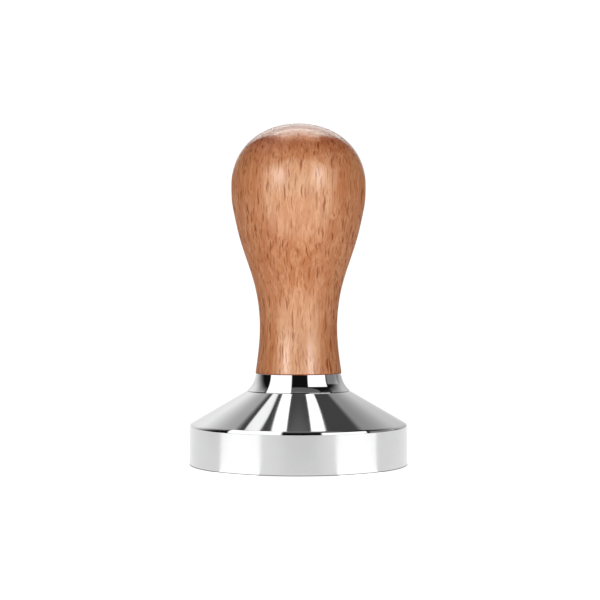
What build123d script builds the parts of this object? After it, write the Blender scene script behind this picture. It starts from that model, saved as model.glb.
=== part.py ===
from build123d import *
import math
import os

# Espresso tamper, 58 mm: a solid stainless base, a polished neck collar and a
# turned beech handle that screws down on a stud standing in the base.
# Millimetres, +Z up. The origin is the centre of the flat tamping face, and
# every piece is turned about the Z axis.

# ---- base -------------------------------------------------------------------
BASE_R = 29.0             # fits the 58.5 mm bore of a professional filter basket
RIM_H = 10.6              # straight side of the base, up to the start of the cone
CONE_ANGLE = 30.0         # slope of the cone above the horizontal, degrees
RIM_TOP_ROUND = 1.1       # edge between the side and the cone
RIM_BOTTOM_ROUND = 0.4    # edge that meets the coffee
EDGE_BREAK = 0.15         # tiny chamfer each side of a parting line

# ---- neck collar ------------------------------------------------------------
SEAM_R = 13.8             # where the collar sits on the cone
COLLAR_TOP_R = 11.5       # where the collar meets the handle
COLLAR_TOP_Z = 24.0
COLLAR_FLARE_R = 6.0      # concave flare of the collar
LOCATING_SPIGOT_R = 8.95  # under the collar, into the base
LOCATING_SPIGOT_H = 1.4
HANDLE_SPIGOT_R = 7.4     # above the collar, into the handle
HANDLE_SPIGOT_H = 3.0
COLLAR_BORE_R = 4.2       # clearance for the M8 stud

# ---- O-ring that keeps the collar on the handle -----------------------------
CORD_R = 0.75             # radius of the rubber cord
CORD_SEAT_GAP = 0.02      # between the cord and the groove's floor
GROOVE_FLOOR_R = 6.0
GROOVE_W = 1.9
GROOVE_MID_UP = 1.5       # middle of the groove above the collar's top

# ---- stud, M8 x 30 set screw ------------------------------------------------
STUD_R = 3.95             # crest of the M8 thread, less its running clearance
STUD_L = 30.0
STUD_END_CHAMFER = 0.7
STUD_IN_HANDLE = 10.0     # thread engaged in the handle, 8 turns of 1.25
HEX_ACROSS_FLATS = 4.0
HEX_DEPTH = 4.5

# ---- tapped holes and drilled holes -----------------------------------------
TAP_R = 4.0               # thread root of the M8 tapped holes
TAP_MOUTH_CHAMFER = 0.5
DRILL_POINT_ANGLE = 118.0
BELOW_STUD = 1.2          # hole left under the stud
RECESS_R = 9.0            # register in the base for the collar's spigot
RECESS_DEPTH = 1.5

# ---- threaded insert, pressed into the handle -------------------------------
INSERT_L = 16.0
INSERT_R = 5.9            # body of the insert, and the hole drilled for it
BARB_OUT = 0.3            # how far each barb bites into the wood
BARB_COUNT = 5
BARB_END_GAP = 1.5        # plain stretch at each end of the insert
BARB_TAPER = 0.8          # share of a barb's pitch that slopes back to the body
HOLE_PAST_INSERT = 2.0

# ---- handle -----------------------------------------------------------------
SOCKET_R = 7.55           # counterbore for the collar's spigot and O-ring
SOCKET_DEPTH = 3.2
FOOT_CHAMFER = 0.25
WAIST_R = 10.35
WAIST_Z = 35.8
FLARE_R = 11.7            # where the neck starts to open
FLARE_Z = 47.5
CHEEK_R = 16.0            # lower side of the knob
CHEEK_Z = 61.2
SWELL_R = 17.3            # where the side turns upright
SWELL_Z = 67.0
KNOB_R = 18.0
KNOB_Z = 74.4             # widest place of the knob
HANDLE_TOP_Z = 90.8
FOOT_LEAN = -0.14         # slope of the side where it leaves the collar, dr/dz
CROWN_FULLNESS = 0.585    # 0.552 would make the crown an exact ellipse

# ---- worked out -------------------------------------------------------------
SEAM_Z = RIM_H + (BASE_R - SEAM_R) * math.tan(math.radians(CONE_ANGLE))
RECESS_Z = SEAM_Z - RECESS_DEPTH
SOCKET_Z = COLLAR_TOP_Z + SOCKET_DEPTH
STUD_TOP_Z = SOCKET_Z + STUD_IN_HANDLE
STUD_BOTTOM_Z = STUD_TOP_Z - STUD_L


def turned(*outline):
    """The solid made by turning a closed outline, drawn as (radius, z), about Z."""
    return revolve(make_face(Plane.XZ * Wire(outline)), Axis.Z)


def outline_points(*points):
    """Straight edges through (radius, z) points, closed back to the first."""
    return Polyline(*points, close=True).edges()


def plug(radius, start_z, end_z):
    """A plain cylinder on the axis between two heights."""
    return turned(*outline_points((0, start_z), (radius, start_z), (radius, end_z), (0, end_z)))


def drilled(radius, mouth_z, end_z):
    """The shape a drill removes: straight to end_z, and its point beyond."""
    point_depth = radius / math.tan(math.radians(DRILL_POINT_ANGLE / 2))
    tip_z = end_z + math.copysign(point_depth, end_z - mouth_z)
    return turned(*outline_points((0, mouth_z), (radius, mouth_z), (radius, end_z), (0, tip_z)))


def mouth_chamfer(radius, mouth_z, size, up=1):
    """A countersink that breaks the edge of a hole; up is +1 if the hole opens upwards."""
    return turned(
        *outline_points(
            (0, mouth_z),
            (radius + size, mouth_z),
            (radius, mouth_z - up * size),
            (0, mouth_z - up * size),
        )
    )


def make_base():
    """Solid puck: straight rim, cone, flat land with a register and a tapped hole."""
    slope = math.radians(CONE_ANGLE)
    seam_break = (SEAM_R - EDGE_BREAK, SEAM_Z)
    cone_end = (SEAM_R + EDGE_BREAK, SEAM_Z - EDGE_BREAK * math.tan(slope))
    body = turned(
        *outline_points(
            (0, 0),
            (BASE_R, 0),
            (BASE_R, RIM_H),
            cone_end,
            seam_break,
            (0, SEAM_Z),
        )
    )
    top_edge = body.edges().filter_by(GeomType.CIRCLE).sort_by(Axis.Z)[1]
    body = fillet(top_edge, RIM_TOP_ROUND)
    bottom_edge = body.edges().filter_by(GeomType.CIRCLE).sort_by(Axis.Z)[0]
    body = fillet(bottom_edge, RIM_BOTTOM_ROUND)

    register = plug(RECESS_R, SEAM_Z, RECESS_Z)
    tapped_hole = drilled(TAP_R, SEAM_Z, STUD_BOTTOM_Z - BELOW_STUD)
    return body - register - tapped_hole - mouth_chamfer(TAP_R, RECESS_Z, TAP_MOUTH_CHAMFER)


def make_neck_collar():
    """Flared ferrule with a spigot at each end and a clearance bore."""
    spigot_bottom = SEAM_Z - LOCATING_SPIGOT_H
    spigot_top = COLLAR_TOP_Z + HANDLE_SPIGOT_H
    flare_bottom = (SEAM_R, SEAM_Z + EDGE_BREAK)
    flare_top = (COLLAR_TOP_R, COLLAR_TOP_Z)
    flare = RadiusArc(flare_bottom, flare_top, COLLAR_FLARE_R)
    rest = Polyline(
        flare_top,
        (HANDLE_SPIGOT_R, COLLAR_TOP_Z),
        (HANDLE_SPIGOT_R, spigot_top),
        (COLLAR_BORE_R, spigot_top),
        (COLLAR_BORE_R, spigot_bottom),
        (LOCATING_SPIGOT_R, spigot_bottom),
        (LOCATING_SPIGOT_R, SEAM_Z),
        (SEAM_R - EDGE_BREAK, SEAM_Z),
        flare_bottom,
    )
    body = turned(flare, *rest.edges())

    groove_mid = COLLAR_TOP_Z + GROOVE_MID_UP
    groove_bottom = groove_mid - GROOVE_W / 2
    groove_top = groove_mid + GROOVE_W / 2
    groove = plug(HANDLE_SPIGOT_R + 1, groove_bottom, groove_top)
    groove -= plug(GROOVE_FLOOR_R, groove_bottom, groove_top)
    return body - groove


def make_collar_o_ring():
    """Rubber ring lying in the collar's groove, just proud of the spigot."""
    cord_centre_r = GROOVE_FLOOR_R + CORD_SEAT_GAP + CORD_R
    return Pos(0, 0, COLLAR_TOP_Z + GROOVE_MID_UP) * Torus(cord_centre_r, CORD_R)


def make_stud():
    """M8 set screw, chamfered at both ends, with a hex socket in its top."""
    rod = plug(STUD_R, STUD_BOTTOM_Z, STUD_TOP_Z)
    rod = chamfer(rod.edges().filter_by(GeomType.CIRCLE), STUD_END_CHAMFER)
    hexagon = RegularPolygon(HEX_ACROSS_FLATS / 2, 6, major_radius=False)
    socket = extrude(Pos(0, 0, STUD_TOP_Z) * hexagon, -HEX_DEPTH)
    return rod - socket


def make_threaded_insert():
    """Brass sleeve with an M8 tapped bore and saw-tooth barbs round the outside."""
    bottom = SOCKET_Z
    top = SOCKET_Z + INSERT_L
    barb_pitch = (INSERT_L - 2 * BARB_END_GAP) / BARB_COUNT
    outside = [(INSERT_R, bottom)]
    for barb in range(BARB_COUNT):
        shoulder_z = bottom + BARB_END_GAP + barb * barb_pitch
        outside.append((INSERT_R, shoulder_z))
        outside.append((INSERT_R + BARB_OUT, shoulder_z))
        outside.append((INSERT_R, shoulder_z + BARB_TAPER * barb_pitch))
    outside.append((INSERT_R, top))
    sleeve = turned(*outline_points((TAP_R, bottom), *outside, (TAP_R, top)))
    return sleeve - mouth_chamfer(TAP_R, bottom, TAP_MOUTH_CHAMFER, up=-1)


def make_handle():
    """Pear-shaped beech knob on a waisted neck, bored from below."""
    foot = (COLLAR_TOP_R, COLLAR_TOP_Z + FOOT_CHAMFER)
    widest = (KNOB_R, KNOB_Z)
    apex = (0, HANDLE_TOP_Z)
    side = Spline(
        foot,
        (WAIST_R, WAIST_Z),
        (FLARE_R, FLARE_Z),
        (CHEEK_R, CHEEK_Z),
        (SWELL_R, SWELL_Z),
        widest,
        tangents=[(FOOT_LEAN, 1), (0, 1)],
    )
    crown = Bezier(
        widest,
        (KNOB_R, KNOB_Z + CROWN_FULLNESS * (HANDLE_TOP_Z - KNOB_Z)),
        (CROWN_FULLNESS * KNOB_R, HANDLE_TOP_Z),
        apex,
    )
    inside = Polyline(
        apex,
        (0, COLLAR_TOP_Z),
        (COLLAR_TOP_R - FOOT_CHAMFER, COLLAR_TOP_Z),
        foot,
    )
    body = turned(side, crown, *inside.edges())

    socket = plug(SOCKET_R, COLLAR_TOP_Z, SOCKET_Z)
    insert_hole = drilled(INSERT_R, SOCKET_Z, SOCKET_Z + INSERT_L + HOLE_PAST_INSERT)
    return body - socket - insert_hole


os.makedirs("parts", exist_ok=True)
export_step(make_base(), "parts/base.step")
export_step(make_neck_collar(), "parts/neck_collar.step")
export_step(make_collar_o_ring(), "parts/collar_o_ring.step")
export_step(make_stud(), "parts/stud.step")
export_step(make_threaded_insert(), "parts/threaded_insert.step")
export_step(make_handle(), "parts/handle.step")
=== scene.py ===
"""Espresso tamper: the finished look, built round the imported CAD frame.

Everything is in metres, +Z up, with the origin at the centre of the tamping face. Each
visible piece is turned about the Z axis from an outline in millimetres, (radius, height).
"""

import math

import bmesh
import bpy
import numpy as np
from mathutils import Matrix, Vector


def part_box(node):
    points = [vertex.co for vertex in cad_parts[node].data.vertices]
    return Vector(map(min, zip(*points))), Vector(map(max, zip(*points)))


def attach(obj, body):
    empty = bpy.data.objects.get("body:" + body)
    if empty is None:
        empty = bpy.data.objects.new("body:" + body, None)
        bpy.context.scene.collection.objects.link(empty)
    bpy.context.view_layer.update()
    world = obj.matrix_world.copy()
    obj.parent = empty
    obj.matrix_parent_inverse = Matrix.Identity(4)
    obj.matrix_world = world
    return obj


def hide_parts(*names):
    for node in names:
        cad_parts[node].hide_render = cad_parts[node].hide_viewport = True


MM = 0.001
ON_AXIS = 1e-6      # radii below this, in millimetres, are a single point

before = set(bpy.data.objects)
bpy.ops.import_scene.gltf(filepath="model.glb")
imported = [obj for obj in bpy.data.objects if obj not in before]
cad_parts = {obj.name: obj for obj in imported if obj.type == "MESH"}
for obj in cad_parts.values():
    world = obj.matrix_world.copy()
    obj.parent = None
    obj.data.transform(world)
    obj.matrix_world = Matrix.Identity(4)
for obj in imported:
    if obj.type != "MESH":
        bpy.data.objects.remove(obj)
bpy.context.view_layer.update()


def top_of(node):
    """Height of a CAD node's highest point, in millimetres."""
    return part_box(node)[1].z / MM


def bottom_of(node):
    """Height of a CAD node's lowest point, in millimetres."""
    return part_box(node)[0].z / MM


def radius_of(node):
    """Largest radius of a CAD node, in millimetres."""
    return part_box(node)[1].x / MM


# ---- sizes, in millimetres --------------------------------------------------
BASE_R = radius_of("base")
SEAM_Z = top_of("base")
CONE_ANGLE = math.radians(30)
SEAM_R = radius_of("neck_collar")
RIM_H = SEAM_Z - (BASE_R - SEAM_R) * math.tan(CONE_ANGLE)
RIM_TOP_ROUND = 1.1
RIM_BOTTOM_ROUND = 0.4
EDGE_BREAK = 0.15
RECESS_R = 9.0
RECESS_DEPTH = 1.5
TAP_R = 4.0
TAP_CHAMFER = 0.5
DRILL_POINT = math.radians(118 / 2)

COLLAR_TOP_Z = bottom_of("handle")
COLLAR_TOP_R = 11.5
COLLAR_FLARE_R = 6.0
LOCATING_SPIGOT_R = 8.95
SPIGOT_BOTTOM_Z = bottom_of("neck_collar")
HANDLE_SPIGOT_R = 7.4
SPIGOT_TOP_Z = top_of("neck_collar")
COLLAR_BORE_R = 4.2
GROOVE_FLOOR_R = 6.0
GROOVE_BOTTOM_Z = COLLAR_TOP_Z + 0.55
GROOVE_TOP_Z = COLLAR_TOP_Z + 2.45

SOCKET_R = 7.55
SOCKET_Z = bottom_of("threaded_insert")
INSERT_HOLE_R = 5.9
HOLE_ABOVE_INSERT = 2.0
INSERT_HOLE_END_Z = top_of("threaded_insert") + HOLE_ABOVE_INSERT
HANDLE_TOP_Z = top_of("handle")

STUD_R = radius_of("stud")
STUD_BOTTOM_Z = bottom_of("stud")
STUD_TOP_Z = top_of("stud")
THREAD_PITCH = 1.25
THREAD_DEPTH = 0.7
STUD_CHAMFER = 0.7
HOLE_BELOW_STUD = 1.2


# ---- outlines ---------------------------------------------------------------
def run(start, end, guard=0.06, pieces=6):
    """Points along a straight run, with one close to each end to keep the shading flat."""
    start, end = Vector(start), Vector(end)
    length = (end - start).length
    guard = min(guard, length / 4)
    inner = [guard + (length - 2 * guard) * i / pieces for i in range(pieces + 1)]
    return [tuple(start.lerp(end, s / length)) for s in (0, *inner, length)]


def arc(centre, radius, start, end, pieces=10):
    """Points along an arc; angles are in degrees from the outward direction."""
    angles = [math.radians(start + (end - start) * i / pieces) for i in range(pieces + 1)]
    return [(centre[0] + radius * math.cos(a), centre[1] + radius * math.sin(a)) for a in angles]


def chain(*corners):
    """Straight runs through a list of corners."""
    points = []
    for start, end in zip(corners, corners[1:]):
        points += run(start, end)
    return points


def without_repeats(points, gap=1e-5):
    """The same outline with each doubled point left out."""
    kept = [points[0]]
    for point in points[1:]:
        if math.dist(point, kept[-1]) > gap:
            kept.append(point)
    return kept


def smooth_through(points, step):
    """Even points along a natural cubic spline through the given ones."""
    points = np.array(points)
    along = np.concatenate([[0], np.cumsum(np.linalg.norm(np.diff(points, axis=0), axis=1))])
    gaps = np.diff(along)
    slopes = np.diff(points, axis=0) / gaps[:, None]
    count = len(points)
    matrix = np.eye(count)
    right = np.zeros((count, 2))
    for i in range(1, count - 1):
        matrix[i, i - 1] = gaps[i - 1]
        matrix[i, i] = 2 * (gaps[i - 1] + gaps[i])
        matrix[i, i + 1] = gaps[i]
        right[i] = 6 * (slopes[i] - slopes[i - 1])
    bend = np.linalg.solve(matrix, right)
    result = []
    for s in np.linspace(0, along[-1], int(along[-1] / step) + 1):
        i = min(int(np.searchsorted(along, s, side="right")) - 1, count - 2)
        low, high, gap = s - along[i], along[i + 1] - s, gaps[i]
        cubic = (bend[i] * high**3 + bend[i + 1] * low**3) / (6 * gap)
        linear = (points[i] / gap - bend[i] * gap / 6) * high
        linear = linear + (points[i + 1] / gap - bend[i + 1] * gap / 6) * low
        result.append(tuple(cubic + linear))
    return result


def base_outline():
    """From the middle of the tamping face, round the outside, to the bottom of the hole."""
    bottom_centre = (BASE_R - RIM_BOTTOM_ROUND, RIM_BOTTOM_ROUND)
    tangent = RIM_TOP_ROUND * math.tan((math.pi / 2 - CONE_ANGLE) / 2)
    top_centre = (BASE_R - RIM_TOP_ROUND, RIM_H - tangent)
    bottom = arc(bottom_centre, RIM_BOTTOM_ROUND, -90, 0)
    top = arc(top_centre, RIM_TOP_ROUND, 0, 90 - math.degrees(CONE_ANGLE), 14)
    cone_end = (SEAM_R + EDGE_BREAK, SEAM_Z - EDGE_BREAK * math.tan(CONE_ANGLE))
    recess_z = SEAM_Z - RECESS_DEPTH
    hole_end = STUD_BOTTOM_Z - HOLE_BELOW_STUD
    return without_repeats(
        run((0, 0), bottom[0], pieces=40)
        + bottom
        + run(bottom[-1], top[0], pieces=20)
        + top
        + run(top[-1], cone_end, pieces=30)
        + chain(
            cone_end,
            (SEAM_R - EDGE_BREAK, SEAM_Z),
            (RECESS_R, SEAM_Z),
            (RECESS_R, recess_z),
            (TAP_R + TAP_CHAMFER, recess_z),
            (TAP_R, recess_z - TAP_CHAMFER),
            (TAP_R, hole_end),
            (0, hole_end - TAP_R / math.tan(DRILL_POINT)),
        )
    )


def flare_outline():
    """The collar's concave side, from the parting line up to the wood."""
    low = Vector((SEAM_R, SEAM_Z + EDGE_BREAK))
    high = Vector((COLLAR_TOP_R, COLLAR_TOP_Z))
    middle = (low + high) / 2
    half = (high - low).length / 2
    away = Vector((high.y - low.y, low.x - high.x)).normalized()
    centre = middle + away * math.sqrt(COLLAR_FLARE_R**2 - half**2)
    start = math.degrees(math.atan2(low.y - centre.y, low.x - centre.x))
    end = math.degrees(math.atan2(high.y - centre.y, high.x - centre.x))
    return arc(centre, COLLAR_FLARE_R, start % 360, end % 360, 48)


def collar_outline():
    """A closed loop: flare, upper spigot with its groove, bore, lower spigot."""
    flare = flare_outline()
    return without_repeats(
        flare
        + chain(
            flare[-1],
            (HANDLE_SPIGOT_R, COLLAR_TOP_Z),
            (HANDLE_SPIGOT_R, GROOVE_BOTTOM_Z),
            (GROOVE_FLOOR_R, GROOVE_BOTTOM_Z),
            (GROOVE_FLOOR_R, GROOVE_TOP_Z),
            (HANDLE_SPIGOT_R, GROOVE_TOP_Z),
            (HANDLE_SPIGOT_R, SPIGOT_TOP_Z),
            (COLLAR_BORE_R, SPIGOT_TOP_Z),
            (COLLAR_BORE_R, SPIGOT_BOTTOM_Z),
            (LOCATING_SPIGOT_R, SPIGOT_BOTTOM_Z),
            (LOCATING_SPIGOT_R, SEAM_Z),
            (SEAM_R - EDGE_BREAK, SEAM_Z),
            flare[0],
        )
    )


def handle_side():
    """The wood's outer side, taken from the CAD node where its surface crosses +X."""
    inside_r, inside_z = 9.0, 60.0
    points = {}
    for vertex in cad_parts["handle"].data.vertices:
        x, y, z = (c / MM for c in vertex.co)
        outside = x > inside_r or z > inside_z
        if abs(y) < 1e-4 and x > -1e-4 and outside:
            points[round(z, 3), round(x, 3)] = (max(x, 0.0), z)
    side = [points[key] for key in sorted(points, key=lambda k: (k[0], -k[1]))]
    foot = [p for p in side if p[1] < COLLAR_TOP_Z + 0.01]
    rest = [p for p in side if p not in foot]
    return foot, rest


def handle_outline():
    """From the top of the knob down the side, and up the bored inside."""
    foot, side = handle_side()
    outside = smooth_through(side, 0.3)[::-1]
    outside[0] = (0, HANDLE_TOP_Z)
    tip = INSERT_HOLE_END_Z + INSERT_HOLE_R / math.tan(DRILL_POINT)
    return without_repeats(
        outside
        + run(outside[-1], foot[0], pieces=4)
        + chain(
            foot[0],
            (SOCKET_R, COLLAR_TOP_Z),
            (SOCKET_R, SOCKET_Z),
            (INSERT_HOLE_R, SOCKET_Z),
            (INSERT_HOLE_R, INSERT_HOLE_END_Z),
            (0, tip),
        )
    )


# ---- meshes -----------------------------------------------------------------
def finish_mesh(bm, name, body, crease=28):
    """Turns a bmesh into a smooth-shaded piece that rides on a body."""
    bmesh.ops.remove_doubles(bm, verts=bm.verts, dist=1e-7)
    bmesh.ops.recalc_face_normals(bm, faces=bm.faces)
    mesh = bpy.data.meshes.new(name)
    bm.to_mesh(mesh)
    bm.free()
    mesh.shade_smooth()
    mesh.set_sharp_from_angle(angle=math.radians(crease))
    piece = bpy.data.objects.new(name, mesh)
    bpy.context.scene.collection.objects.link(piece)
    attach(piece, body)
    return piece


def join_rings(bm, low, high):
    """Faces between two rings of vertices, either of which may be a single point."""
    count = max(len(low), len(high))
    for k in range(count):
        nxt = (k + 1) % count
        if len(low) == 1:
            bm.faces.new((low[0], high[nxt], high[k]))
        elif len(high) == 1:
            bm.faces.new((low[k], low[nxt], high[0]))
        else:
            bm.faces.new((low[k], low[nxt], high[nxt], high[k]))


def turned(name, outline, body, segments=288, closed=False):
    """A piece made by turning an outline about the Z axis."""
    bm = bmesh.new()
    turns = [2 * math.pi * k / segments for k in range(segments)]
    circle = [(math.cos(turn), math.sin(turn)) for turn in turns]
    rings = []
    for radius, height in outline:
        spots = circle if radius > ON_AXIS else [(0, 0)]
        rings.append([bm.verts.new((radius * x * MM, radius * y * MM, height * MM)) for x, y in spots])
    pairs = list(zip(rings, rings[1:]))
    if closed:
        pairs.append((rings[-1], rings[0]))
    for low, high in pairs:
        join_rings(bm, low, high)
    return finish_mesh(bm, name, body)


def thread_radius(turn_share):
    """Radius of an M8 thread at a share of its pitch: crest, flank, root, flank."""
    crest, flank = 0.14, 0.36
    root = 1 - crest - 2 * flank
    if turn_share < crest:
        return STUD_R
    if turn_share < crest + flank:
        return STUD_R - THREAD_DEPTH * (turn_share - crest) / flank
    if turn_share < crest + flank + root:
        return STUD_R - THREAD_DEPTH
    return STUD_R - THREAD_DEPTH * (1 - turn_share) / flank


def threaded_stud(name, body, segments=72, rings_per_turn=20):
    """M8 set screw with its helical thread, chamfered ends and a hex socket."""
    bm = bmesh.new()
    length = STUD_TOP_Z - STUD_BOTTOM_Z
    count = int(length / THREAD_PITCH * rings_per_turn)
    rings = []
    for i in range(count + 1):
        up = length * i / count
        end_limit = STUD_R - STUD_CHAMFER + min(up, length - up)
        ring = []
        for k in range(segments):
            angle = 2 * math.pi * k / segments
            share = (up / THREAD_PITCH - k / segments) % 1
            radius = min(thread_radius(share), end_limit)
            x, y = radius * math.cos(angle), radius * math.sin(angle)
            ring.append(bm.verts.new((x * MM, y * MM, (STUD_BOTTOM_Z + up) * MM)))
        rings.append(ring)
    for low, high in zip(rings, rings[1:]):
        join_rings(bm, low, high)
    bm.faces.new(rings[0])
    add_hex_socket(bm, rings[-1])
    return finish_mesh(bm, name, body, crease=40)


def add_hex_socket(bm, rim, across_flats=4.0, depth=4.5):
    """Closes the top of the stud with a flat that has a hex socket in it."""
    corner_r = across_flats / math.sqrt(3)
    per_side = len(rim) // 6
    turns = [math.radians(60 * k) for k in range(6)]
    corners = [Vector((math.cos(turn), math.sin(turn))) * corner_r for turn in turns]
    mouth, floor = [], []
    for k in range(len(rim)):
        side, along = divmod(k, per_side)
        spot = corners[side].lerp(corners[(side + 1) % 6], along / per_side)
        mouth.append(bm.verts.new((spot.x * MM, spot.y * MM, STUD_TOP_Z * MM)))
        floor.append(bm.verts.new((spot.x * MM, spot.y * MM, (STUD_TOP_Z - depth) * MM)))
    join_rings(bm, rim, mouth)
    join_rings(bm, mouth, floor)
    bm.faces.new(floor)


# ---- material building ------------------------------------------------------
class Shader:
    """Adds nodes to a material's or the world's tree."""

    def __init__(self, tree):
        self.tree = tree
        self.tree.nodes.clear()

    def node(self, kind, settings=None, **inputs):
        """A node; inputs are given by socket name, spaces as underscores, as values or sockets."""
        made = self.tree.nodes.new(kind)
        for key, value in (settings or {}).items():
            setattr(made, key, value)
        for key, value in inputs.items():
            self.put(made.inputs[key.replace("_", " ")], value)
        return made

    def put(self, socket, value):
        if isinstance(value, bpy.types.NodeSocket):
            self.tree.links.new(value, socket)
        else:
            socket.default_value = value

    def math(self, operation, *values):
        made = self.tree.nodes.new("ShaderNodeMath")
        made.operation = operation
        for socket, value in zip(made.inputs, values):
            self.put(socket, value)
        return made.outputs[0]

    def vector(self, operation, *values):
        made = self.tree.nodes.new("ShaderNodeVectorMath")
        made.operation = operation
        for socket, value in zip(made.inputs, values):
            self.put(socket, value)
        return made.outputs["Value" if operation == "LENGTH" else "Vector"]

    def split(self, vector):
        """The x, y and z of a vector."""
        return self.node("ShaderNodeSeparateXYZ", Vector=vector).outputs

    def distance(self, x, y):
        """How far (x, y) is from (0, 0)."""
        squares = self.math("ADD", self.math("MULTIPLY", x, x), self.math("MULTIPLY", y, y))
        return self.math("SQRT", squares)

    def degrees(self, operation, *values):
        """An angle from ARCTAN2 or ARCSINE, in degrees."""
        return self.math("MULTIPLY", self.math(operation, *values), 180 / math.pi)

    def smooth(self, value, low, high):
        """0 below low, 1 above high, and a smooth step between."""
        made = self.node("ShaderNodeMapRange", {"interpolation_type": "SMOOTHSTEP"})
        for name, amount in (("Value", value), ("From Min", low), ("From Max", high)):
            self.put(made.inputs[name], amount)
        return made.outputs["Result"]

    def between(self, value, at_0, at_1):
        """at_0 where the value is 0, at_1 where it is 1, and in proportion between."""
        return self.math("MULTIPLY_ADD", value, at_1 - at_0, at_0)

    def share(self, value, low, high, most):
        """The same smooth step, rising to most instead of 1."""
        return self.math("MULTIPLY", self.smooth(value, low, high), most)

    def bump(self, principled, height, strength, depth, socket="Normal"):
        """Fine relief on a material; depth is in metres."""
        made = self.node("ShaderNodeBump", Strength=strength, Distance=depth, Height=height)
        self.put(principled.inputs[socket], made.outputs[0])

    def scaled(self, vector, scale):
        made = self.node("ShaderNodeMapping", Vector=vector, Scale=scale)
        return made.outputs["Vector"]

    def noise(self, place, per_metre, detail=2.0, roughness=0.5):
        """Noise with so many features to a metre along x, y and z."""
        settings = {"Vector": self.scaled(place, per_metre), "Detail": detail, "Roughness": roughness}
        return self.node("ShaderNodeTexNoise", Scale=1.0, **settings).outputs["Fac"]

    def mix(self, factor, first, second, blend="MIX"):
        made = self.node("ShaderNodeMix", {"data_type": "RGBA", "blend_type": blend})
        self.put(made.inputs[0], factor)
        self.put(made.inputs[6], first)
        self.put(made.inputs[7], second)
        return made.outputs[2]


def new_material(name):
    material = bpy.data.materials.new(name)
    material.use_nodes = True
    shader = Shader(material.node_tree)
    principled = shader.node("ShaderNodeBsdfPrincipled")
    output = shader.node("ShaderNodeOutputMaterial")
    shader.tree.links.new(principled.outputs["BSDF"], output.inputs["Surface"])
    place = shader.node("ShaderNodeTexCoord").outputs["Object"]
    return material, shader, principled, place


# ---- wood -------------------------------------------------------------------
BEECH_PALE = (0.63, 0.304, 0.15, 1)
BEECH_TAN = (0.53, 0.215, 0.09, 1)
BEECH_RED = (0.44, 0.143, 0.055, 1)
BEECH_FLECK = (0.24, 0.05, 0.012, 1)
END_GRAIN_TINT = (0.7, 0.42, 0.36, 1)
GRAIN_DRIFT = (0.0018, 0.0018, 0.0)
LACQUER_ON_WOOD = 0.13
LACQUER_ON_FLECKS = 0.06
FLECK_SIZES = (0.6, 1.1)            # the smallest and largest, as shares of a layer's size
FLECK_STRENGTHS = (0.4, 1.0)        # the faintest and darkest
# Each layer: the cell that holds one fleck, a fleck's half-size (both in metres along x, y
# and z), an offset that makes the layer differ from the others, and how strongly it shows.
FLECK_LAYERS = [
    ((0.002, 0.0016, 0.0066), (0.00032, 0.0007, 0.0042), 0.013, 1.0),
    ((0.0015, 0.0013, 0.0042), (0.00024, 0.0006, 0.0026), 0.171, 1.0),
    ((0.0011, 0.001, 0.0028), (0.00018, 0.0005, 0.0016), 0.417, 0.65),
]


def fleck_layer(shader, place, spacing, size, offset):
    """Lens-shaped medullary rays, one to a cell, of uneven size and darkness."""
    moved = shader.vector("ADD", place, (offset, offset * 0.37, offset * 1.71))
    cells = shader.scaled(moved, tuple(1 / s for s in spacing))
    pattern = {"feature": "F1"}
    voronoi = shader.node("ShaderNodeTexVoronoi", pattern, Vector=cells, Scale=1.0, Randomness=1.0)
    off_centre = shader.vector("SUBTRACT", cells, voronoi.outputs["Position"])
    stretch = tuple(gap / width for gap, width in zip(spacing, size))
    reach = shader.vector("LENGTH", shader.scaled(off_centre, stretch))
    chance = shader.node("ShaderNodeSeparateColor", Color=voronoi.outputs["Color"])
    wide = shader.between(chance.outputs[0], *FLECK_SIZES)
    outside = shader.smooth(shader.math("DIVIDE", reach, wide), 0.45, 1.05)
    strength = shader.between(chance.outputs[1], *FLECK_STRENGTHS)
    return shader.math("MULTIPLY", shader.math("SUBTRACT", 1.0, outside), strength)


def beech_flecks(shader, place):
    """All the fleck layers together: 1 in the middle of a dark fleck, 0 between flecks."""
    flecks = 0.0
    for spacing, size, offset, strength in FLECK_LAYERS:
        layer = fleck_layer(shader, place, spacing, size, offset)
        flecks = shader.math("MAXIMUM", flecks, shader.math("MULTIPLY", layer, strength))
    return flecks


def beech_colour(shader, grain_place, fibre, flecks):
    """Grain running up the handle, redder where the turned surface cuts across it."""
    streak = shader.noise(grain_place, (640, 640, 70), 3.0, 0.6)
    cloud = shader.noise(grain_place, (90, 90, 30))
    colour = shader.mix(shader.share(cloud, 0.3, 0.7, 0.6), BEECH_TAN, BEECH_RED)
    colour = shader.mix(shader.share(streak, 0.4, 0.64, 0.75), colour, BEECH_PALE)
    colour = shader.mix(shader.share(fibre, 0.42, 0.62, 0.5), colour, BEECH_RED)
    facing = shader.split(shader.node("ShaderNodeTexCoord").outputs["Normal"])
    facing_up = shader.math("ABSOLUTE", facing[2])
    shown = shader.math("MULTIPLY", flecks, shader.share(facing_up, 0.9, 0.7, 0.95))
    colour = shader.mix(shown, colour, BEECH_FLECK)
    tinted = shader.mix(1.0, colour, END_GRAIN_TINT, "MULTIPLY")
    return shader.mix(shader.smooth(facing_up, 0.3, 0.85), colour, tinted)


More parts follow.
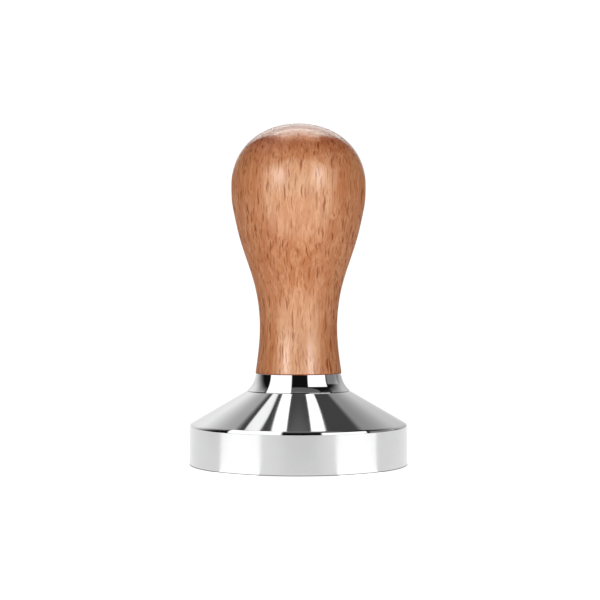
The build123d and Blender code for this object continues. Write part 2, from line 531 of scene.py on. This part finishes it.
def beech_material():
    """Steamed beech under clear lacquer: fine vertical grain and short dark ray flecks."""
    material, shader, principled, place = new_material("beech")
    around = shader.scaled(place, (210, 210, 200))
    drift = shader.node("ShaderNodeTexNoise", Vector=around, Scale=1.0, Detail=2.0)
    centred = shader.vector("SUBTRACT", drift.outputs["Color"], (0.5, 0.5, 0.5))
    grain_place = shader.vector("MULTIPLY_ADD", centred, GRAIN_DRIFT, place)
    flecks = beech_flecks(shader, grain_place)
    fibre = shader.noise(grain_place, (2600, 2600, 240), 3.0, 0.6)
    shader.put(principled.inputs["Base Color"], beech_colour(shader, grain_place, fibre, flecks))
    shader.put(principled.inputs["Roughness"], shader.between(fibre, 0.42, 0.57))
    height = shader.math("MULTIPLY_ADD", flecks, -0.6, shader.math("MULTIPLY", fibre, 0.25))
    shader.bump(principled, height, 0.35, 0.00006)

    ripple = shader.noise(place, (240, 240, 60))
    shader.bump(principled, ripple, 0.25, 0.00012, "Coat Normal")
    lacquer = shader.between(flecks, LACQUER_ON_WOOD, LACQUER_ON_FLECKS)
    shader.put(principled.inputs["Coat Weight"], lacquer)
    principled.inputs["Coat Roughness"].default_value = 0.2
    principled.inputs["Coat IOR"].default_value = 2
    principled.inputs["Specular IOR Level"].default_value = 0.0
    principled.inputs["IOR"].default_value = 1.45
    return material


# ---- metal and rubber -------------------------------------------------------
STEEL = (0.64, 0.64, 0.645, 1)
STUD_STEEL = (0.5, 0.5, 0.51, 1)
BRASS = (0.75, 0.53, 0.23, 1)
BRASS_STAIN = (0.58, 0.38, 0.15, 1)
NITRILE = (0.012, 0.012, 0.013, 1)
NITRILE_WORN = (0.03, 0.03, 0.031, 1)
# Each finish: roughness, anisotropy, depth of the lathe marks in metres, marks to a metre.
SATIN_RIM = (0.2, 0.35, 0.0000015, 14000)
POLISHED_CONE = (0.05, 0.5, 0.0000004, 9000)
TURNED_FACE = (0.2, 0.6, 0.000004, 5000)
MIRROR_FLARE = (0.03, 0.2, 0.0000002, 9000)
TURNED_SPIGOT = (0.22, 0.5, 0.000003, 9000)
STUD_SURFACE = (0.28, 0.3, 0.000003, 9000)


def lathe_marks(shader, place, per_metre, across):
    """Fine circular tool marks, following one another along the radius or the height."""
    x, y, z = shader.split(place)
    along = shader.distance(x, y) if across == "radius" else z
    line = shader.node("ShaderNodeCombineXYZ", X=along)
    return shader.noise(line.outputs[0], (per_metre, 1, 1), 4.0, 0.7)


def steel_material(name, colour, finish, across, smudge=0.02):
    """Stainless steel with circular lathe marks; smudge is how much its roughness varies."""
    roughness, anisotropy, mark_depth, per_metre = finish
    material, shader, principled, place = new_material(name)
    marks = lathe_marks(shader, place, per_metre, across)
    haze = shader.noise(place, (160, 160, 160), 3.0, 0.6)
    dulled = tuple(c * 0.97 for c in colour[:3]) + (1,)
    blotches = shader.smooth(haze, 0.3, 0.7)
    shader.put(principled.inputs["Base Color"], shader.mix(blotches, colour, dulled))
    principled.inputs["Metallic"].default_value = 1.0
    uneven = shader.between(haze, roughness - smudge / 2, roughness + smudge / 2)
    shader.put(principled.inputs["Roughness"], uneven)
    principled.inputs["Anisotropic"].default_value = anisotropy
    principled.inputs["Anisotropic Rotation"].default_value = 0.25
    tangent = shader.node("ShaderNodeTangent", {"direction_type": "RADIAL", "axis": "Z"})
    shader.put(principled.inputs["Tangent"], tangent.outputs[0])
    shader.bump(principled, marks, 0.5, mark_depth)
    return material


def rubber_material():
    """Matt black nitrile with the faint texture of its mould."""
    material, shader, principled, place = new_material("nitrile")
    grit = shader.noise(place, (9000, 9000, 9000), 2.0, 0.6)
    shader.put(principled.inputs["Base Color"], shader.mix(grit, NITRILE, NITRILE_WORN))
    shader.put(principled.inputs["Roughness"], shader.between(grit, 0.5, 0.7))
    shader.bump(principled, grit, 0.4, 0.00001)
    return material


def brass_material():
    """Turned brass, slightly dulled."""
    material, shader, principled, place = new_material("insert_brass")
    marks = lathe_marks(shader, place, 9000, "height")
    stain = shader.noise(place, (500, 500, 500), 3.0, 0.6)
    shader.put(principled.inputs["Base Color"], shader.mix(stain, BRASS, BRASS_STAIN))
    principled.inputs["Metallic"].default_value = 1.0
    shader.put(principled.inputs["Roughness"], shader.between(stain, 0.22, 0.42))
    shader.bump(principled, marks, 0.4, 0.000008)
    return material


def paint_faces(piece, materials, choose):
    """Gives a piece several materials, choosing one for each face by its centre and normal."""
    for material in materials:
        piece.data.materials.append(material)
    for face in piece.data.polygons:
        face.material_index = choose(face.center / MM, face.normal)


# ---- the object -------------------------------------------------------------
def make_base():
    """Satin rim, polished cone, and turned tamping face and recess."""
    piece = turned("base_turned", base_outline(), "base_body")
    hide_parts("base")
    rim, cone, inner = 0, 1, 2
    materials = [
        steel_material("rim_satin", STEEL, SATIN_RIM, "height"),
        steel_material("cone_polished", STEEL, POLISHED_CONE, "radius"),
        steel_material("face_turned", STEEL, TURNED_FACE, "radius"),
    ]

    def choose(centre, normal):
        if normal.z < -0.9 or math.hypot(centre.x, centre.y) < SEAM_R - EDGE_BREAK:
            return inner
        return rim if abs(normal.z) < 0.02 else cone

    paint_faces(piece, materials, choose)


def make_collar():
    """Mirror-polished flare, with its spigots and bore left as turned."""
    piece = turned("neck_collar_turned", collar_outline(), "collar_body", closed=True)
    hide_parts("neck_collar")
    flare, inner = 0, 1
    materials = [
        steel_material("collar_mirror", STEEL, MIRROR_FLARE, "height", smudge=0.01),
        steel_material("spigot_turned", STEEL, TURNED_SPIGOT, "height"),
    ]

    def choose(centre, normal):
        return flare if math.hypot(centre.x, centre.y) > COLLAR_TOP_R - 0.02 else inner

    paint_faces(piece, materials, choose)


def make_handle():
    """The pear-shaped wooden grip, bored from below for the insert and the collar's spigot."""
    piece = turned("handle_turned", handle_outline(), "handle_body")
    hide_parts("handle")
    piece.data.materials.append(beech_material())
    return piece


def make_stud():
    """The set screw that holds the handle to the base."""
    piece = threaded_stud("stud_threaded", "base_body")
    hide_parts("stud")
    piece.data.materials.append(steel_material("stud_steel", STUD_STEEL, STUD_SURFACE, "height"))
    return piece


def dress_cad_nodes():
    """The hidden ring and insert keep their CAD shapes and get real materials."""
    for node, material in (("collar_o_ring", rubber_material()), ("threaded_insert", brass_material())):
        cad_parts[node].material_slots[0].material = material


# ---- studio -----------------------------------------------------------------
# Soft windows of light, which the polished steel shows. Those in front are given by how a
# mirror would face to show them to someone at the front: degrees round (right is positive)
# and degrees up. Those behind are given by degrees round from the back and degrees above the
# horizon. Each row: name, left, right, low, high, softness of the edge, brightness.
FRONT_WINDOWS = [
    ("left softbox", -39, -8.7, 1, 54, 1.5, 1.65),
    ("right softbox", 12, 37.5, 1, 31, 1.5, 1.75),
    ("right fill", 39.5, 60, 0, 24, 3, 0.3),
]
BACK_WINDOWS = [
    ("strip left", -18.5, -9.2, 57.0, 66, 0.9, 1.8),
    ("strip far left", -27.0, -21.4, 51.6, 57.8, 0.9, 1.35),
    ("strip right", 9.6, 18.4, 58.8, 66, 0.9, 1.8),
]
# The walls that the steel shows. Each pair is where a change starts and where it is complete,
# in degrees round from the front or above the horizon, or as a share of the way to the right.
DARK_ROOM = 0.008
CEILING_EDGE = (63.2, 66.5)
CEILING_LIGHT = 0.16
WALL_SIDE = (102, 150)
WALL_BASE_LIGHT = 0.07
LEDGE_EDGE = (50, 46)
LEDGE_LIGHT = 0.5
WALL_SLOPE = (46, 22)
WALL_LIGHT = 0.62
WALL_FOOT = (26, 6)
FOOT_LOSS = 0.2
RIGHT_SHADE = (-0.05, 0.35)
LEFT_LIGHT = 0.95
RIGHT_LIGHT = 0.6
# The light on matt surfaces, in the same terms.
FRONT_SPREAD = (75, 0)
FRONT_TOP = (20, 0)
FRONT_FILL = 9.2
REAR_SPREAD = (80, 140)
REAR_TOP = (60, 20)
REAR_FILL = 0.5
EVEN_FILL = 0.06
BACKDROP_LIGHT = 1.05


def window(shader, azimuth, elevation, row):
    """Brightness of one soft-edged window of light."""
    _, left, right, low, high, soft, bright = row
    edges = [
        shader.smooth(azimuth, left - soft / 2, left + soft / 2),
        shader.smooth(azimuth, right + soft / 2, right - soft / 2),
        shader.smooth(elevation, low - soft / 2, low + soft / 2),
        shader.smooth(elevation, high + soft / 2, high - soft / 2),
    ]
    result = bright
    for edge in edges:
        result = shader.math("MULTIPLY", edge, result)
    return result


def back_wall(shader, from_front, elevation, x):
    """Pale wall behind the object, darker to the right and at its foot, and a dim ceiling."""
    behind = shader.smooth(shader.math("ABSOLUTE", from_front), *WALL_SIDE)
    wall = shader.share(elevation, *LEDGE_EDGE, LEDGE_LIGHT)
    wall = shader.math("MULTIPLY_ADD", shader.smooth(elevation, *WALL_SLOPE), WALL_LIGHT, wall)
    wall = shader.math("MULTIPLY_ADD", shader.smooth(elevation, *WALL_FOOT), -FOOT_LOSS, wall)
    shade = shader.between(shader.smooth(x, *RIGHT_SHADE), LEFT_LIGHT, RIGHT_LIGHT)
    wall = shader.math("MULTIPLY_ADD", wall, shade, WALL_BASE_LIGHT)
    overhead = shader.smooth(elevation, *CEILING_EDGE)
    ceiling = shader.math("MULTIPLY_ADD", overhead, CEILING_LIGHT, DARK_ROOM)
    return shader.math("MULTIPLY_ADD", behind, wall, ceiling)


def reflected_studio(shader, x, y, z):
    """What the steel shows: a dark room with a pale back wall, softboxes and overhead strips."""
    from_front = shader.degrees("ARCTAN2", x, shader.math("MULTIPLY", y, -1))
    from_back = shader.degrees("ARCTAN2", x, y)
    elevation = shader.degrees("ARCSINE", z)
    forward = shader.math("SUBTRACT", 1.0, y)
    mirror_round = shader.degrees("ARCTAN2", x, forward)
    mirror_up = shader.degrees("ARCTAN2", z, shader.distance(x, forward))
    total = back_wall(shader, from_front, elevation, x)
    for row in FRONT_WINDOWS:
        total = shader.math("ADD", total, window(shader, mirror_round, mirror_up, row))
    for row in BACK_WINDOWS:
        total = shader.math("ADD", total, window(shader, from_back, elevation, row))
    return total


def soft_light(shader, x, y, z):
    """What lights the matt surfaces: a low broad light in front and a weak one behind."""
    from_front = shader.degrees("ARCTAN2", x, shader.math("MULTIPLY", y, -1))
    round_by = shader.math("ABSOLUTE", from_front)
    elevation = shader.degrees("ARCSINE", z)
    in_front, behind = shader.smooth(round_by, *FRONT_SPREAD), shader.smooth(round_by, *REAR_SPREAD)
    front = shader.math("MULTIPLY", in_front, shader.smooth(elevation, *FRONT_TOP))
    rear = shader.math("MULTIPLY", behind, shader.smooth(elevation, *REAR_TOP))
    fill = shader.math("MULTIPLY_ADD", front, FRONT_FILL, EVEN_FILL)
    return shader.math("MULTIPLY_ADD", rear, REAR_FILL, fill)


def make_world():
    """The studio round the object, in front of a plain white backdrop."""
    world = bpy.data.worlds.new("studio")
    bpy.context.scene.world = world
    world.use_nodes = True
    shader = Shader(world.node_tree)
    x, y, z = shader.split(shader.node("ShaderNodeTexCoord").outputs["Generated"])
    strength = reflected_studio(shader, x, y, z)
    ray = shader.node("ShaderNodeLightPath").outputs
    matt_light = soft_light(shader, x, y, z)
    for kind, value in (("Is Diffuse Ray", matt_light), ("Is Camera Ray", BACKDROP_LIGHT)):
        choice = shader.node("ShaderNodeMix", {"data_type": "FLOAT"})
        factor, first, second = choice.inputs[0], choice.inputs[2], choice.inputs[3]
        shader.put(factor, ray[kind])
        shader.put(first, strength)
        shader.put(second, value)
        strength = choice.outputs[0]
    background = shader.node("ShaderNodeBackground", Color=(1, 1, 1, 1), Strength=strength)
    output = shader.node("ShaderNodeOutputWorld")
    shader.tree.links.new(background.outputs[0], output.inputs["Surface"])


# ---- floor, lamps and camera ------------------------------------------------
FLOOR_LIGHT = 1.06
# Glow of the painted pools of light on the floor, one on each side of the camera, which the satin rim
# shows as white bands.
LIGHT_POOL_GLOW = 1.7
CONTACT_LIGHT = 0.12
CONTACT_SHADOW = (-0.4, 0.3)        # from just under the base's edge outwards, in millimetres
SHARE_ON_MATT = 0.5                 # share of the floor's light that matt surfaces get
LIGHT_POOL_EDGES = (19.5, 43.7)          # degrees round the base from the front
LIGHT_POOL_LENGTH = 0.4                  # in metres, as are the next three
FLOOR_SIZE = 6
FLOOR_Z = -0.00003                  # just under the base, so that their faces don't coincide
LIGHT_POOL_Z = -0.00002


def glowing(name, strength):
    """A white surface lit from below, as a light table is, with a painted contact shadow where the base
    stands on it.
    """
    material, shader, principled, place = new_material(name)
    principled.inputs["Base Color"].default_value = (0.02, 0.02, 0.02, 1)
    principled.inputs["Roughness"].default_value = 0.8
    principled.inputs["Specular IOR Level"].default_value = 0.0
    principled.inputs["Emission Color"].default_value = (1, 1, 1, 1)
    x, y, _ = shader.split(place)
    # Painted contact shadow: the glow falls to CONTACT_LIGHT round the base's edge.
    under, clear = ((BASE_R + edge) * MM for edge in CONTACT_SHADOW)
    open_light = shader.smooth(shader.distance(x, y), under, clear)
    level = shader.between(open_light, CONTACT_LIGHT, strength)
    diffuse_ray = shader.node("ShaderNodeLightPath").outputs["Is Diffuse Ray"]
    seen = shader.between(diffuse_ray, 1.0, SHARE_ON_MATT)
    shader.put(principled.inputs["Emission Strength"], shader.math("MULTIPLY", level, seen))
    return material


def ahead(degrees):
    """A level direction, so many degrees to the right of straight towards the front."""
    turn = math.radians(degrees)
    return Vector((math.sin(turn), -math.cos(turn)))


def make_floor():
    """Pale floor, with a painted pool of light, a brighter glowing patch, on each side of the camera.
    """
    spot = (0, 0, FLOOR_Z)
    bpy.ops.mesh.primitive_grid_add(x_subdivisions=8, y_subdivisions=8, size=FLOOR_SIZE, location=spot)
    floor = bpy.context.object
    floor.name = "floor"
    floor.data.materials.append(glowing("floor_white", FLOOR_LIGHT))
    bright = glowing("floor_light_pool", LIGHT_POOL_GLOW)
    for side in (-1, 1):
        corners = []
        for around in LIGHT_POOL_EDGES:
            near = ahead(around) * BASE_R * MM
            corners.append((near, near + ahead(2 * around) * LIGHT_POOL_LENGTH))
        (a, b), (c, d) = corners
        # Each patch is a painted pool of light: it glows brighter than the floor round it.
        mesh = bpy.data.meshes.new("floor_light_pool")
        mesh.from_pydata([(p.x * side, p.y, LIGHT_POOL_Z) for p in (a, b, d, c)], [], [(0, 1, 2, 3)])
        mesh.materials.append(bright)
        light_pool = bpy.data.objects.new("floor_light_pool", mesh)
        bpy.context.scene.collection.objects.link(light_pool)


# Lamps for the lacquer's highlights. Each row: name, degrees round from the front, degrees
# above the horizon, distance, width and height in metres, brightness, colour.
LACQUER_LAMPS = [
    ("key_left", -34, 13, 0.6, 0.19, 0.2, 17, (0.85, 0.96, 1)),
    ("key_right", 34, 13, 0.6, 0.19, 0.2, 17, (0.85, 0.96, 1)),
    ("front_card", 0, 2, 0.1, 0.35, 0.143, 9.8, (0.8, 1, 0.85)),
    ("back_card", 180, 20, 0.5, 0.46, 0.2, 4.6, (0.85, 1, 1)),
    ("top_card", 180, 45, 0.5, 0.42, 0.3, 12.5, (0.88, 1, 0.97)),
    ("high_card", 180, 67, 0.5, 0.34, 0.2, 20, (0.93, 0.97, 0.87)),
    ("zenith_card", 180, 84, 0.5, 0.36, 0.15, 10.5, (1, 0.85, 0.6)),
]
LAMP_AIM = Vector((0, 0, 0.0756))   # in the middle of the knob


def make_lacquer_lights(wood):
    """Soft lamps that only the lacquered wood shows, and that cast no other light."""
    lit = bpy.data.collections.new("lacquered_wood")
    lit.objects.link(wood)
    for name, azimuth, elevation, distance, width, height, bright, colour in LACQUER_LAMPS:
        lamp = bpy.data.lights.new(name, "AREA")
        lamp.shape = "RECTANGLE"
        lamp.size, lamp.size_y = width, height
        lamp.energy = bright * math.pi * width * height
        lamp.color = colour
        around, up = math.radians(azimuth), math.radians(elevation)
        level = math.cos(up)
        toward = Vector((math.sin(around) * level, -math.cos(around) * level, math.sin(up)))
        piece = bpy.data.objects.new(name, lamp)
        piece.location = LAMP_AIM + toward * distance
        piece.rotation_mode = "QUATERNION"
        piece.rotation_quaternion = toward.to_track_quat("Z", "Y")
        piece.visible_diffuse = False
        piece.visible_camera = False
        piece.light_linking.receiver_collection = lit
        piece.light_linking.blocker_collection = lit
        bpy.context.scene.collection.objects.link(piece)


def keep_out_of_steel(*pieces):
    """Leaves pieces out of every reflection, so that the steel shows the studio alone."""
    for piece in pieces:
        piece.visible_glossy = False


CAMERA_SPOT = Vector((0.0004, -0.347, 0.0385))
CAMERA_AIM = Vector((0.0004, 0, 0.04367))
CAMERA_LENS = 77.7


def make_camera():
    """Low above the bench, looking slightly up along +Y."""
    camera = bpy.data.objects.new("camera", bpy.data.cameras.new("camera"))
    camera.data.lens = CAMERA_LENS
    camera.data.sensor_width = 36
    camera.location = CAMERA_SPOT
    camera.rotation_mode = "QUATERNION"
    camera.rotation_quaternion = (CAMERA_AIM - CAMERA_SPOT).to_track_quat("-Z", "Y")
    bpy.context.scene.collection.objects.link(camera)
    bpy.context.scene.camera = camera


make_base()
make_collar()
stud = make_stud()
handle = make_handle()
dress_cad_nodes()
keep_out_of_steel(handle, stud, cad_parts["threaded_insert"])
make_floor()
make_world()
make_lacquer_lights(handle)
make_camera()
bpy.context.scene.view_settings.view_transform = "Standard"
